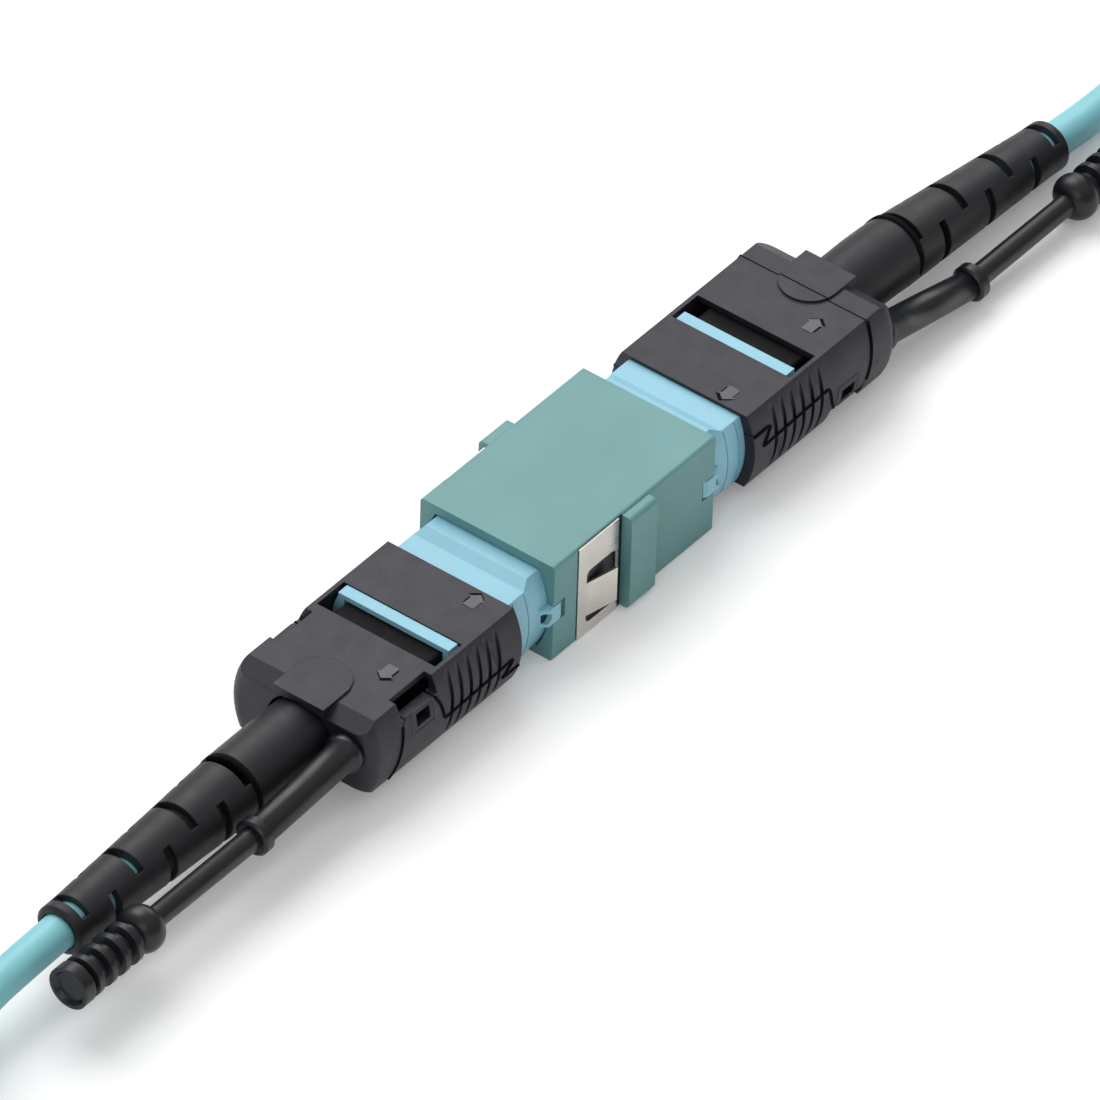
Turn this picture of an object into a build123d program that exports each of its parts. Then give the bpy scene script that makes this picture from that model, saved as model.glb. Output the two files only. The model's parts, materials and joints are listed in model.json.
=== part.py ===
"""Multi-fibre coupler with a push-pull plug latched in each port, in millimetres.

Z is up and Y runs along the chain. The origin is the middle of the coupler's underside.
Plug a enters from -Y with its cover half up, plug b from +Y with its cover half down.
Each plug is modelled once, lying along +Y from the mating plane, with the cover half at +Z
and the pull rod at -X, and is then turned into place.
"""
import os
from math import cos, pi, radians, sin, tan

from build123d import *

# Coupler body
coupler_width = 12.9
coupler_height = 9.3
coupler_half_length = 9.92
coupler_edge = 0.3
axis_z = coupler_height / 2

# Port, a flat-topped barrel section
port_half_height = 3.81
port_top_half = 5.0
port_side_half = 6.0
port_floor = 0.8
floor_window = (11.0, 4.4)

# Flange that stops against the panel
flange_half = 1.6
flange_reach = 0.93
flange_inset = 0.2
flange_round = 0.45

# Notch in each side wall at the port mouth
notch_depth = 1.45
notch_height = 1.8

# Panel clip, one bent strip of spring steel
clip_thickness = 0.2
clip_front = -6.95
clip_back = -2.05
clip_top_inset = 0.2
clip_seat = 0.15
clip_play = 0.15
clip_window_front = -5.9
clip_window_back = -2.35
clip_window_low = -3.5
clip_window_high = 1.65
clip_window_round = 0.5
clip_tab_reach = 0.65
clip_tab_root = 0.2
clip_tab_back = -2.9
clip_tab_low = -2.75
clip_tab_high = 0.5

# Latch insert
insert_plate = 0.8
insert_window = (6.8, 2.9)
arm_inside = 4.78
arm_thickness = 0.5
arm_half_height = 1.3
arm_tip = 6.9
hook_length = 1.0
hook_depth = 0.4
hook_ramp = 0.35
insert_play = 0.03

# Ferrule and its parts
ferrule_width = 6.4
ferrule_height = 2.5
ferrule_length = 8.0
ferrule_head = 2.0
ferrule_head_grow = 0.3
mating_gap = 0.01
ferrule_edge = 0.12
fibre_room = (3.4, 1.1)
fibre_room_start = 3.0
glue_window_half_width = 1.5
glue_window_start = 3.6
glue_window_end = 5.4
pin_radius = 0.35
pin_spacing = 4.6
pin_reach = 2.0
pin_play = 0.03
pin_nose = 0.25
clamp_length = 1.0
clamp_window = (2.4, 1.5)
ferrule_float = 0.5
ferrule_spring_radius = 1.6
ferrule_spring_wire = 0.28
ferrule_spring_turns = 4

# Inner housing of a plug
housing_start = 1.75
housing_end = 25.0
housing_half_width = 4.6
housing_half_height = 2.85
housing_bore_gap = 0.05
housing_spring_bore = (7.8, 3.9)
recess_start = 5.7
recess_end = 8.5
recess_depth = 0.45
recess_half_height = 1.5
housing_edge = 0.3
key_start = 5.2
key_end = 10.9
key_width = 2.4
key_height = 0.4
shoulder_start = 18.3
shoulder_length = 0.9

# Spring push, crimp sleeve and the cable's held end
push_start = 12.9
push_body = (7.7, 3.8)
push_end = 26.0
push_bore_radius = 1.3
barrel_radius = 2.0
barrel_end = 31.0
crimp_play = 0.02
crimp_wall = 0.4
crimp_rim = 0.15
crimp_rim_length = 0.7
crimp_start = 26.2
crimp_end = 31.5
cable_diameter = 3.0
cable_play = 0.1

# Outer sleeve
sleeve_start = 4.6
sleeve_step_start = 11.26
sleeve_step_end = 12.2
sleeve_end = 21.35
sleeve_nose = (3.68, 4.85, 5.88)
sleeve_body = (3.15, 5.3, 5.95)
sleeve_gap = 0.12
sleeve_travel = 1.8
bar_length = 1.1
bar_half_width = 5.3
bar_top = 3.42
lug_start = 8.75
lug_end = 11.5
lug_half_height = 0.8
lug_reach = 6.5
lug_root = 4.0
lug_lead_in = 0.4
lug_slope = 1.0
lug_slope_foot = 5.4
eyelet_radius = 0.5
eyelet_past_mouth = 0.7
sleeve_spring_radius = 0.3
sleeve_spring_wire = 0.12
sleeve_spring_turns = 7
sleeve_spring_start = 11.3
spring_play = 0.03

# Plug shell, two halves
shell_start = 14.4
shell_length = 18.2
shell_half_height = 3.5
shell_top_half = 6.02
shell_side_half = 6.95
shell_wall_gap = 0.05
shell_slope_start = 16.8
shell_slope_drop = 0.9
shell_rear_wall = 2.2
shell_rear_hole = 3.15
shell_room_half_width = 5.75
shell_room_half_height = 2.95
shell_corner = 1.2
seam_gap = 0.12
seam_round = 0.3
window_start = 5.8
window_play = 0.3
window_end = sleeve_end + sleeve_travel + window_play - shell_start
window_half_width = 5.65
ridge_start = 2.5
ridge_pitch = 1.15
ridge_count = 6
ridge_groove = 0.42
ridge_depth = 0.3
edge_inset = 0.68
edge_start = 10.0
edge_end = 14.3
edge_level = 2.4
pocket_hole = (1.6, 1.1)
pocket_hole_at = (11.9, 1.2)
arch_half_width = 2.45
arch_start = 13.3
arch_end = 18.5
arch_lift = 0.18
arch_thickness = 0.75

# Boot
boot_start = 26.6
boot_radius = 2.95
boot_bend_at = 38.0
boot_end = 61.3
boot_tip_radius = 2.15
boot_ring = 1.9
boot_bend_a = 0.75
boot_bend_b = 6.2
boot_bend_run = 2.0
slot_first = 40.9
slot_pitch = 3.1
slot_count = 7
slot_width = 0.85
slot_half_angle = 48
slot_closed = 4
slot_floor = 2.0

# Pull rod
rod_side = 4.65
rod_lift = 0.85
rod_root = 29.4
rod_head_radius = 1.05
rod_head_length = 0.9
rod_stem_radius = 0.85
rod_socket_play = 0.05
rod_collar = 43.7
rod_grip = 56.2
rod_end = 66.2
rod_root_radius = 1.1
rod_collar_radius = 1.55
rod_collar_length = 0.95
rod_shaft_radius = 0.95
rod_ring_radius = 1.45
rod_ring_length = 0.7
grip_ball_radius = 1.95
grip_ridge_radius = 1.75
grip_groove_radius = 1.2
grip_ridges = 4
grip_end_radius = 1.8
rod_flare_a = 0.3
rod_sag_a = -0.6
rod_flare_b = 0.7
rod_sag_b = 1.75

# Free cable: a hank of flat loops in line with the chain, held by a tie, and the far plug on top
hank_run = 47.0
hank_turn = 9.0
hank_layers = 3
hank_edge = 1.2
tie_thickness = 0.3
tie_width = 5.0
tie_at = 34.0
hank_side = -2.4
hank_place = {"a": 91.2, "b": 89.5}
far_side = 8.4
far_tip = 43.4
far_axis_z = tie_thickness + hank_layers * cable_diameter + shell_half_height + arch_lift


def barrel(half_height, top_half, side_half):
    """Flat-topped section with bulging sides, in the XZ plane, seen along +Y."""
    top = Line((-top_half, half_height), (top_half, half_height))
    right = ThreePointArc((top_half, half_height), (side_half, 0), (top_half, -half_height))
    bottom = Line((top_half, -half_height), (-top_half, -half_height))
    left = ThreePointArc((-top_half, -half_height), (-side_half, 0), (-top_half, half_height))
    return make_face([top, right, bottom, left])


def along_y(face, start, end):
    """Extrude a section drawn in XZ from y = start to y = end."""
    plane = Plane(origin=(0, start, 0), x_dir=(1, 0, 0), z_dir=(0, -1, 0))
    return extrude(plane * face, amount=start - end)


def block(x0, x1, y0, y1, z0, z1):
    """Box between two corners."""
    size = (x1 - x0, y1 - y0, z1 - z0)
    centre = ((x0 + x1) / 2, (y0 + y1) / 2, (z0 + z1) / 2)
    return Pos(*centre) * Box(*size)


def both_sides(piece):
    """The piece and its mirror image across the YZ plane."""
    return piece + mirror(piece, about=Plane.YZ)


def turned_y(profile, origin=(0, 0, 0), direction=(0, 1, 0)):
    """Solid of revolution from (radius, distance) points, about an axis along direction."""
    face = make_face(Plane.XZ * Polyline(*profile, close=True))
    solid = revolve(face, axis=Axis.Z)
    return Plane(origin=origin, z_dir=direction).location * solid


def port_room():
    """The space of one port, from the floor to beyond the mouth."""
    section = barrel(port_half_height, port_top_half, port_side_half)
    return along_y(section, port_floor, coupler_half_length + 1)


def coupler_half():
    """Half of the welded coupler body, the +Y one, about the axis."""
    half_width = coupler_width / 2
    half_height = coupler_height / 2
    body = block(-half_width, half_width, 0, coupler_half_length, -half_height, half_height)
    body = fillet(body.edges().filter_by(Axis.Y), coupler_edge)
    reach = half_width + flange_reach
    flange = block(-reach, reach, 0, flange_half, -half_height + flange_inset, half_height - flange_inset)
    flange = fillet(flange.edges().filter_by(Axis.Y), flange_round)
    body = body + flange - port_room()
    window = block(-floor_window[0] / 2, floor_window[0] / 2, -1, port_floor + 1,
                   -floor_window[1] / 2, floor_window[1] / 2)
    notch = block(port_top_half, half_width + 1, coupler_half_length - notch_depth,
                  coupler_half_length + 1, -notch_height / 2, notch_height / 2)
    return body - window - both_sides(notch)


def clip_seat_cut():
    """Recess that the clip lies in, across both sides and the underside."""
    half_width = coupler_width / 2
    half_height = coupler_height / 2
    front = clip_front - clip_play
    side = block(half_width - clip_seat, half_width + 2, front, -flange_half,
                 -half_height - 1, half_height - clip_top_inset + clip_play)
    bottom_top = -half_height + clip_thickness + clip_play / 3
    bottom = block(-half_width - 1, half_width + 1, front, -flange_half, -half_height - 1, bottom_top)
    return both_sides(side) + bottom


def panel_clip():
    """U-shaped spring clip with a sprung tab on each side."""
    inside = coupler_width / 2 - clip_seat
    outside = inside + clip_thickness
    low = -coupler_height / 2 + clip_play / 3
    high = coupler_height / 2 - clip_top_inset
    side = block(inside, outside, clip_front, clip_back, low, high)
    window = block(inside - 1, outside + 1, clip_window_front, clip_window_back,
                   clip_window_low, clip_window_high)
    window = fillet(window.edges().filter_by(Axis.X), clip_window_round)
    root = clip_window_front - clip_tab_root
    tab_profile = Polyline((inside, root), (outside, root), (outside, clip_window_front),
                           (outside + clip_tab_reach, clip_tab_back),
                           (inside + clip_tab_reach, clip_tab_back), (inside, clip_window_front),
                           close=True)
    tab = extrude(make_face(tab_profile), amount=clip_tab_high - clip_tab_low)
    tab = Pos(0, 0, clip_tab_low) * tab
    strip = block(-outside, outside, clip_front, clip_back, low, low + clip_thickness)
    wings = both_sides(side - window + tab)
    clip = wings + strip
    corner = clip.edges().filter_by(Axis.Y).group_by(Axis.Z)[0]
    return fillet(corner, clip_thickness * 0.7)


def latch_insert():
    """Frame plate with two hooked arms that hold a plug's inner housing."""
    play = insert_play
    section = barrel(port_half_height - play, port_top_half - play, port_side_half - play)
    plate = along_y(section, port_floor, port_floor + insert_plate)
    plate -= block(-insert_window[0] / 2, insert_window[0] / 2, -1, 4,
                   -insert_window[1] / 2, insert_window[1] / 2)
    outside = arm_inside + arm_thickness
    hook = arm_tip - hook_length
    profile = Polyline((arm_inside, port_floor + insert_plate / 2), (outside, port_floor + insert_plate / 2),
                       (outside, arm_tip), (arm_inside, arm_tip), (arm_inside - hook_depth, hook + hook_ramp),
                       (arm_inside - hook_depth, hook), (arm_inside, hook), close=True)
    arm = Pos(0, 0, -arm_half_height) * extrude(make_face(profile), amount=2 * arm_half_height)
    return plate + both_sides(arm)


def pin_places():
    return [Pos(side * pin_spacing / 2, 0, 0) * Rot(-90, 0, 0) for side in (-1, 1)]


def ferrule():
    """Rectangular multi-fibre ferrule with a wider head and two guide holes."""
    width = ferrule_width / 2
    height = ferrule_height / 2
    grow = ferrule_head_grow
    body = block(-width, width, mating_gap, ferrule_length, -height, height)
    head = block(-width - grow, width + grow, ferrule_length - ferrule_head, ferrule_length,
                 -height - grow, height + grow)
    body = fillet((body + head).edges().filter_by(Axis.Y), ferrule_edge)
    room_x, room_z = fibre_room[0] / 2, fibre_room[1] / 2
    room = block(-room_x, room_x, fibre_room_start, ferrule_length + 1, -room_z, room_z)
    glue_window = block(-glue_window_half_width, glue_window_half_width, glue_window_start,
                        glue_window_end, 0, height + 1)
    body = body - room - glue_window
    for place in pin_places():
        body -= place * Cylinder(pin_radius + pin_play, 4 * ferrule_length)
    return body


def guide_pins():
    """Two round-nosed steel pins that cross the mating plane."""
    tail = ferrule_length + clamp_length - pin_nose / 2
    profile = [(0, -pin_reach), (pin_radius / 2, -pin_reach), (pin_radius, pin_nose - pin_reach),
               (pin_radius, tail), (0, tail)]
    pins = [Pos(side * pin_spacing / 2, 0, 0) * turned_y(profile) for side in (-1, 1)]
    return Compound(pins)


def pin_clamp():
    """Clamp plate behind the ferrule, with a window for the fibres."""
    width = ferrule_width / 2
    height = ferrule_height / 2
    plate = block(-width, width, ferrule_length, ferrule_length + clamp_length, -height, height)
    window_x, window_z = clamp_window[0] / 2, clamp_window[1] / 2
    plate -= block(-window_x, window_x, 0, 2 * ferrule_length, -window_z, window_z)
    for place in pin_places():
        plate -= place * Cylinder(pin_radius + pin_play / 3, 4 * ferrule_length)
    return plate


def coil_spring(radius, wire, turns, start, end):
    """Round wire spring about the Y axis between two faces."""
    rise = end - start - 2 * wire
    path = Helix(pitch=rise / turns, height=rise, radius=radius)
    section = Plane(origin=path @ 0, z_dir=path % 0) * RegularPolygon(wire, 6)
    spring = sweep(section, path=path, is_frenet=True)
    return Pos(0, start + wire, 0) * Rot(-90, 0, 0) * spring


def inner_housing():
    """Body of a plug: ferrule chamber, latch recesses, key and spring shoulders."""
    half_width = housing_half_width
    half_height = housing_half_height
    body = block(-half_width, half_width, housing_start, housing_end, -half_height, half_height)
    body = fillet(body.edges().filter_by(Axis.Y), housing_edge)
    key = block(-key_width / 2, key_width / 2, key_start, key_end, half_height - 0.2, half_height + key_height)
    spring_size = sleeve_spring_radius + sleeve_spring_wire
    shoulder = block(half_width - 0.3, half_width + 2 * spring_size, shoulder_start,
                     shoulder_start + shoulder_length, -spring_size, spring_size)
    body = body + key + both_sides(shoulder)
    gap = housing_bore_gap
    mouth_x = ferrule_width / 2 + gap
    mouth_z = ferrule_height / 2 + gap
    head_start = ferrule_length - ferrule_head - gap
    head_x = mouth_x + ferrule_head_grow
    head_z = mouth_z + ferrule_head_grow
    body -= block(-mouth_x, mouth_x, 0, head_start + 1, -mouth_z, mouth_z)
    float_end = ferrule_length + ferrule_float
    body -= block(-head_x, head_x, head_start, float_end + 2 * gap, -head_z, head_z)
    bore_x = housing_spring_bore[0] / 2
    bore_z = housing_spring_bore[1] / 2
    body -= block(-bore_x, bore_x, float_end, housing_end + 1, -bore_z, bore_z)
    recess = block(half_width - recess_depth, half_width + 1, recess_start, recess_end,
                   -recess_half_height, recess_half_height)
    return body - both_sides(recess)


def spring_push():
    """Block that backs the ferrule spring, with the barrel that the cable is crimped on."""
    half_x = push_body[0] / 2
    half_z = push_body[1] / 2
    body = block(-half_x, half_x, push_start, push_end, -half_z, half_z)
    body = fillet(body.edges().filter_by(Axis.Y), 0.3)
    barrel_part = turned_y([(0, push_end - 1), (barrel_radius, push_end - 1), (barrel_radius, barrel_end),
                            (0, barrel_end)])
    body = body + barrel_part
    bore = push_bore_radius
    return body - turned_y([(0, push_start - 1), (bore, push_start - 1), (bore, barrel_end + 1),
                            (0, barrel_end + 1)])


def crimp_sleeve():
    """Metal tube pressed over the barrel."""
    inner = barrel_radius + crimp_play
    outer = inner + crimp_wall
    rim = outer + crimp_rim
    step = crimp_start + crimp_rim_length
    return turned_y([(inner, crimp_start), (rim, crimp_start), (rim, step), (outer, step + crimp_rim),
                     (outer, crimp_end), (inner, crimp_end)])


def bent_point(distance, bend):
    """Point on the boot's centre line past its bend, which is given in degrees."""
    reach = distance - boot_bend_at
    return Vector(0, boot_bend_at + reach * cos(radians(bend)), reach * sin(radians(bend)))


def bent_rod(radius, start, end, bend):
    """Round bar along the boot's centre line between two distances either side of the bend."""
    if bend == 0:
        return turned_y([(0, start), (radius, start), (radius, end), (0, end)])
    bend_radius = boot_bend_run / tan(radians(abs(bend)) / 2)
    corner = (0, boot_bend_at, 0)
    path = FilletPolyline((0, start, 0), corner, bent_point(end, bend), radius=bend_radius)
    section = Plane(origin=path @ 0, x_dir=(1, 0, 0), z_dir=path % 0) * Circle(radius)
    return sweep(section, path=path)


def slot_cutter(distance, turn, floor):
    """Wedge pair that cuts the boot on opposite sides at one distance, down to a floor radius."""
    reach = 1.5 * boot_radius
    half = radians(slot_half_angle)
    points = [(0, 0), (reach * sin(half), reach * cos(half)), (-reach * sin(half), reach * cos(half))]
    wedge = extrude(make_face(Polyline(*points, close=True)), amount=slot_width)
    pair = wedge + Rot(0, 0, 180) * wedge - Cylinder(floor, 4 * slot_width)
    return Pos(0, 0, distance) * Rot(0, 0, turn) * pair


def boot(bend):
    """Strain-relief boot: plain base, slotted tapering tail and end ring."""
    tail_start = slot_first - 0.6
    length = boot_end - tail_start
    tail_face = make_face(Plane.XZ * Polyline(
        (0, 0), (boot_radius, 0), (boot_tip_radius, length - boot_ring), (boot_tip_radius, length - 0.25),
        (boot_tip_radius - 0.25, length), (0, length), close=True))
    tail = revolve(tail_face, axis=Axis.Z)
    for index in range(slot_count):
        distance = slot_first - tail_start + index * slot_pitch
        turn = 0 if index % 2 == 0 else 90
        floor = slot_floor if index < slot_closed else cable_diameter / 3
        tail -= slot_cutter(distance, turn, floor)
    direction = bent_point(boot_end, bend) - bent_point(boot_bend_at, bend)
    tail = Plane(origin=bent_point(tail_start, bend), x_dir=(1, 0, 0), z_dir=direction).location * tail
    base = bent_rod(boot_radius, boot_start, tail_start, bend)
    bore = bent_rod(cable_diameter / 2 + cable_play, boot_start - 1, boot_end + 1, bend)
    crimp_room = turned_y([(0, boot_start - 1), (barrel_radius + crimp_wall + 0.2, boot_start - 1),
                           (barrel_radius + crimp_wall + 0.2, crimp_end + 0.3), (0, crimp_end + 0.3)])
    return base + tail - bore - crimp_room


def cable_core(bend):
    """The cable's end that the boot holds, from the crimp barrel to just inside the boot's tip."""
    return bent_rod(cable_diameter / 2, barrel_end + 0.1, boot_end, bend)


def outer_sleeve():
    """Coloured sleeve that slides on the inner housing and is pulled to unlatch."""
    nose = along_y(barrel(*sleeve_nose), sleeve_start, sleeve_step_start)
    tail = along_y(barrel(*sleeve_body), sleeve_step_end, sleeve_end)
    near = Plane(origin=(0, sleeve_step_start, 0), x_dir=(1, 0, 0), z_dir=(0, -1, 0))
    far = Plane(origin=(0, sleeve_step_end, 0), x_dir=(1, 0, 0), z_dir=(0, -1, 0))
    step = loft([near * barrel(*sleeve_nose), far * barrel(*sleeve_body)])
    bar = block(-bar_half_width, bar_half_width, sleeve_end - bar_length, sleeve_end, -bar_top, bar_top)
    lug_profile = Polyline((lug_root, lug_start), (lug_reach - lug_lead_in / 2, lug_start),
                           (lug_reach, lug_start + lug_lead_in), (lug_reach, lug_end - lug_slope),
                           (lug_slope_foot, lug_end), (lug_root, lug_end), close=True)
    lug = Pos(0, 0, -lug_half_height) * extrude(make_face(lug_profile), amount=2 * lug_half_height)
    body = nose + step + tail + bar + both_sides(lug)
    eyelet_y = coupler_half_length + eyelet_past_mouth
    eyelet = Pos(lug_reach, eyelet_y, 0) * Rot(0, 90, 0) * Cylinder(eyelet_radius, lug_slope)
    body -= both_sides(eyelet)
    gap = sleeve_gap
    inside_x = housing_half_width + gap
    inside_z = housing_half_height + gap
    body -= block(-inside_x, inside_x, 0, sleeve_end + 1, -inside_z, inside_z)
    arm_room = arm_inside + arm_thickness + 0.1
    body -= block(-arm_room, arm_room, 0, 9.0, -arm_half_height - 0.2, arm_half_height + 0.2)
    spring_size = sleeve_spring_radius + sleeve_spring_wire
    room_z = spring_size + 2 * spring_play
    room_x = housing_half_width + 2 * spring_size + 3 * spring_play
    body -= block(-room_x, room_x, sleeve_spring_start - spring_play, sleeve_end + 1, -room_z, room_z)
    groove = key_width / 2 + gap
    body -= block(-groove, groove, 0, key_end + sleeve_gap + 0.1, 0, housing_half_height + key_height + gap)
    return body


def sleeve_springs():
    """Pair of small springs between the sleeve's pockets and the housing's shoulders."""
    spring = coil_spring(sleeve_spring_radius, sleeve_spring_wire, sleeve_spring_turns,
                         sleeve_spring_start, shoulder_start - spring_play)
    place = housing_half_width + sleeve_spring_radius + sleeve_spring_wire + spring_play
    return Compound([Pos(side * place, 0, 0) * spring for side in (-1, 1)])


def seam_region(shrink):
    """Side view of the base half, extruded right across the shell."""
    outline = [(-1, -6), (-1, -1.75), (2.25, -1.75), (0.95, -0.3), (9.35, -0.65), (9.85, 1.0), (10.5, 2.25),
               (13.9, 2.25), (14.35, 1.6), (15.3, -6)]
    points = [(shell_start + along, level) for along, level in outline]
    wire = FilletPolyline(*points, radius=seam_round, close=True)
    face = make_face(wire)
    if shrink:
        face = offset(face, amount=-shrink)
    plane = Plane(origin=(-10, 0, 0), x_dir=(0, 1, 0), z_dir=(1, 0, 0))
    return extrude(plane * face, amount=20)


def arch_tab():
    """Round-fronted plate on the rear of the top face, reaching out over the boot."""
    radius = arch_half_width
    centre = shell_start + arch_start + radius
    end = shell_start + arch_end
    outline = [ThreePointArc((-radius, centre), (0, centre - radius), (radius, centre)),
               Polyline((radius, centre), (radius, end), (-radius, end), (-radius, centre))]
    plate = extrude(make_face(outline), amount=arch_thickness)
    return Pos(0, 0, shell_half_height + arch_lift - arch_thickness) * plate


def shell_outside():
    """Outer form of the closed shell, with its side grips and sloping rear."""
    end = shell_start + shell_length
    section = barrel(shell_half_height, shell_top_half, shell_side_half)
    body = along_y(section, shell_start, end)
    slope_start = shell_start + shell_slope_start
    drop = shell_slope_drop
    slope = Polyline((slope_start, shell_half_height), (end + 0.1, shell_half_height - drop),
                     (end + 0.1, shell_half_height + 1), (slope_start, shell_half_height + 1), close=True)
    plane = Plane(origin=(-10, 0, 0), x_dir=(0, 1, 0), z_dir=(1, 0, 0))
    wedge = extrude(plane * make_face(slope), amount=20)
    body = body - wedge - mirror(wedge, about=Plane.XY)
    rear_corners = body.faces().sort_by(Axis.Y)[-1].edges().filter_by(GeomType.CIRCLE)
    body = fillet(rear_corners, shell_corner)
    inner = barrel(shell_half_height + 1, shell_top_half - ridge_depth, shell_side_half - ridge_depth)
    for index in range(ridge_count):
        start = shell_start + ridge_start + index * ridge_pitch
        ring = block(-9, 9, start, start + ridge_groove, -5, 5) - along_y(inner, start - 1, start + 2)
        body -= ring
    return body


def shell_inside():
    """Hollow of the closed shell: sleeve room, housing room, boot hole and face windows."""
    gap = shell_wall_gap
    sleeve_room = barrel(*[size + gap for size in sleeve_body])
    end = shell_start + shell_length
    front = along_y(sleeve_room, shell_start - 1, sleeve_end + gap)
    room_end = end - shell_rear_wall
    room = block(-shell_room_half_width, shell_room_half_width, sleeve_end - 1, room_end,
                 -shell_room_half_height, shell_room_half_height)
    hole = turned_y([(0, room_end - 1), (shell_rear_hole, room_end - 1), (shell_rear_hole, end + 2),
                     (0, end + 2)])
    window = block(-window_half_width, window_half_width, shell_start + window_start,
                   shell_start + window_end, -5, 5)
    window_core = block(-6, 6, shell_start + window_start - 1, shell_start + window_end + 1, -2.0, 2.0)
    root = Vector(-rod_side, rod_root, rod_lift)
    socket_radius = rod_stem_radius + rod_socket_play
    socket = turned_y([(0, 0), (socket_radius, 0), (socket_radius, 6), (0, 6)], root)
    return front + room + hole + socket + (window - window_core)


def closed_shell():
    """Both halves of the shell in one, before the seam is cut."""
    tab = arch_tab()
    return shell_outside() + tab + mirror(tab, about=Plane.XY) - shell_inside()


def shell_cover(shell):
    """Half with the upper plate and the rear cup."""
    start = shell_start + edge_start
    end = shell_start + edge_end
    edge = shell_top_half - edge_inset
    strip = block(edge, 9, start, end, edge_level - 0.3, 5)
    return shell - seam_region(0) - both_sides(strip)


def shell_base(shell):
    """Half with the lower plate and the side walls, each with a small window."""
    along, level = pocket_hole_at
    hole = block(4, 9, shell_start + along - pocket_hole[0] / 2, shell_start + along + pocket_hole[0] / 2,
                 level - pocket_hole[1] / 2, level + pocket_hole[1] / 2)
    return (shell & seam_region(seam_gap)) - both_sides(hole)


def rod_points(flare, sag):
    """Ring, collar and grip points of the pull rod's centre line."""
    ring = Vector(-rod_side, shell_start + shell_length + rod_socket_play, rod_lift)
    collar = Vector(-rod_side - flare, rod_collar, rod_lift + sag)
    grip = Vector(-rod_side - flare, rod_grip, rod_lift + sag)
    return ring, collar, grip


def pull_rod(flare, sag):
    """Slim rod with a snap-in head, a root ring, a collar and a ribbed grip."""
    ring, collar, grip = rod_points(flare, sag)
    head_end = rod_root + rod_head_length
    stem = turned_y([(0, rod_root), (rod_head_radius - 0.3, rod_root), (rod_head_radius, rod_root + 0.3),
                     (rod_head_radius, head_end), (rod_stem_radius, head_end), (rod_stem_radius, ring.Y),
                     (rod_ring_radius, ring.Y), (rod_ring_radius, ring.Y + rod_ring_length),
                     (0, ring.Y + rod_ring_length)], (ring.X, 0, ring.Z))
    start = ring + Vector(0, rod_ring_length / 2, 0)
    direction = (collar - start).normalized()
    reach = (collar - start).length
    first = turned_y([(0, 0), (rod_root_radius, 0), (rod_shaft_radius + 0.08, reach), (0, reach)],
                     start, direction)
    edge = 0.2
    disc = turned_y([(0, -edge), (rod_collar_radius - edge, -edge), (rod_collar_radius, 0),
                     (rod_collar_radius, rod_collar_length - edge),
                     (rod_collar_radius - edge, rod_collar_length), (0, rod_collar_length)], collar)
    shaft = turned_y([(0, 0), (rod_shaft_radius, 0), (rod_shaft_radius - 0.05, rod_grip - rod_collar),
                      (0, rod_grip - rod_collar)], collar)
    return stem + first + disc + shaft + Pos(*grip) * grip_end()


def grip_end():
    """Ball, ridges and end disc of the pull rod, from its own start along +Y."""
    ball = grip_ball_radius
    length = rod_end - rod_grip
    ball_length = 2.6
    disc_length = 1.3
    pitch = (length - ball_length - disc_length) / grip_ridges
    outline = [Line((0, 0), (rod_shaft_radius, 0)),
               ThreePointArc((rod_shaft_radius, 0), (ball, 1.3), (grip_groove_radius, ball_length))]
    points = [(grip_groove_radius, ball_length)]
    for index in range(grip_ridges):
        start = ball_length + index * pitch
        points += [(grip_groove_radius, start + 0.25 * pitch), (grip_ridge_radius, start + 0.4 * pitch),
                   (grip_ridge_radius, start + 0.75 * pitch), (grip_groove_radius, start + 0.9 * pitch)]
    points += [(grip_groove_radius, length - disc_length), (grip_end_radius, length - disc_length + 0.2),
               (grip_end_radius, length), (grip_end_radius - 0.3, length), (grip_end_radius - 0.6, length - 0.35),
               (0, length - 0.35), (0, 0)]
    outline.append(Polyline(*points))
    face = Plane.XZ * make_face(outline)
    return Rot(-90, 0, 0) * revolve(face, axis=Axis.Z)


def route_radii(points):
    """Fillet radius at each inner point: 0.45 of the shorter run over the tangent of half the turn."""
    radii = []
    for before, here, after in zip(points, points[1:], points[2:]):
        run_in = Vector(*here) - Vector(*before)
        run_out = Vector(*after) - Vector(*here)
        turn = radians(run_in.get_angle(run_out))
        radii.append(0.45 * min(run_in.length, run_out.length) / tan(turn / 2))
    return radii


def cable_tube(name, points):
    """Round cable along straight runs joined by tangent arcs."""
    radii = route_radii(points)
    path = FilletPolyline(*points, radius=radii)
    print(name, "length", round(path.length, 2), "radii", [round(radius, 1) for radius in radii])
    section = Plane(origin=path @ 0, z_dir=path % 0) * Circle(cable_diameter / 2)
    tube = sweep(section, path=path)
    print(name, "volume share", round(tube.volume / (path.length * pi * cable_diameter ** 2 / 4), 4))
    return tube


def hank():
    """Outer shape of the put-away loops, a flat ring with straight sides, from its near end's centre."""
    inner = hank_turn - cable_diameter / 2
    outer = hank_turn + cable_diameter / 2
    height = hank_layers * cable_diameter
    ring = SlotCenterToCenter(hank_run, 2 * outer) - SlotCenterToCenter(hank_run, 2 * inner)
    solid = extrude(Pos(0, hank_run / 2, tie_thickness) * Rot(0, 0, 90) * ring, amount=height)
    rims = solid.faces().sort_by(Axis.Z)
    return fillet(rims[0].edges() + rims[-1].edges(), hank_edge)


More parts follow.
